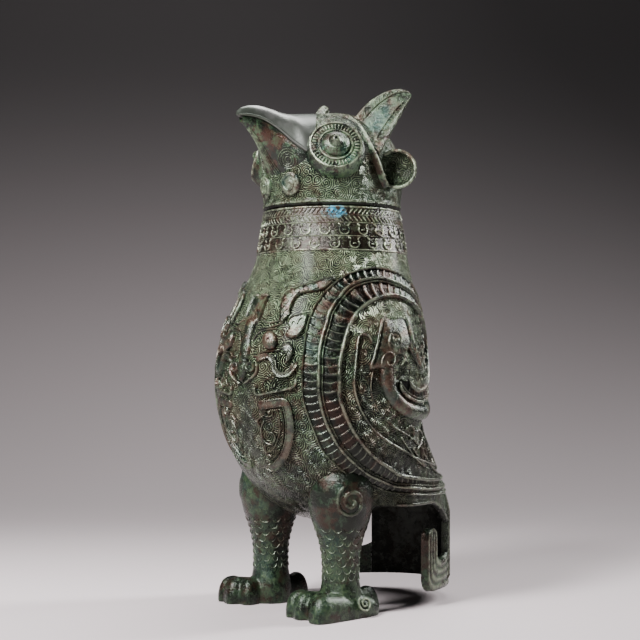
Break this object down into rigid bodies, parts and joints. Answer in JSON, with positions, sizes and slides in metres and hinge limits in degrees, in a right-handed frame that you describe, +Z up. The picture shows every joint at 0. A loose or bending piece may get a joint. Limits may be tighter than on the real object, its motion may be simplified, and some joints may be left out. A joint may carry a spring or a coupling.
{
  "type": "bronze owl vessel",
  "caption": "Cast bronze wine vessel shaped as a standing owl: hollow body on two legs with a hooked tail, with the horned, beaked head as a lift-off lid.",
  "frame": {"origin": "floor level under the middle of the overall length, on the bird's middle plane", "axes": "+Z up, -Y the way the beak points, +X the bird's left side"},
  "size_m": [0.1868, 0.2023, 0.4027],
  "materials": {
    "dark_bronze": "dark green-black patina",
    "green_bronze": "green patina with brown patches",
    "worn_bronze": "worn grey-green patina, smoother",
    "fired_clay": "matt fired clay core"
  },
  "bodies": {
    "vessel": {"vessel_body": "dark_bronze", "tail": "dark_bronze", "left_leg": "green_bronze", "right_leg": "green_bronze", "left_leg_core": "fired_clay", "right_leg_core": "fired_clay", "left_tail_hook": "dark_bronze", "right_tail_hook": "dark_bronze", "left_wing_band": "worn_bronze", "right_wing_band": "worn_bronze", "left_wing_coil": "dark_bronze", "right_wing_coil": "dark_bronze", "left_coil_head": "green_bronze", "right_coil_head": "green_bronze"},
    "head": {"head_shell": "dark_bronze", "upper_beak": "worn_bronze", "left_eye_disc": "worn_bronze", "right_eye_disc": "worn_bronze", "left_eye_boss": "green_bronze", "right_eye_boss": "green_bronze", "left_horn": "green_bronze", "right_horn": "green_bronze", "left_ear": "dark_bronze", "right_ear": "dark_bronze"}
  },
  "joints": [
    {"name": "lid_lift", "type": "slide", "parent": "vessel", "child": "head", "axis": [0, 0, 1], "range_m": [0, 0.15]}
  ]
}
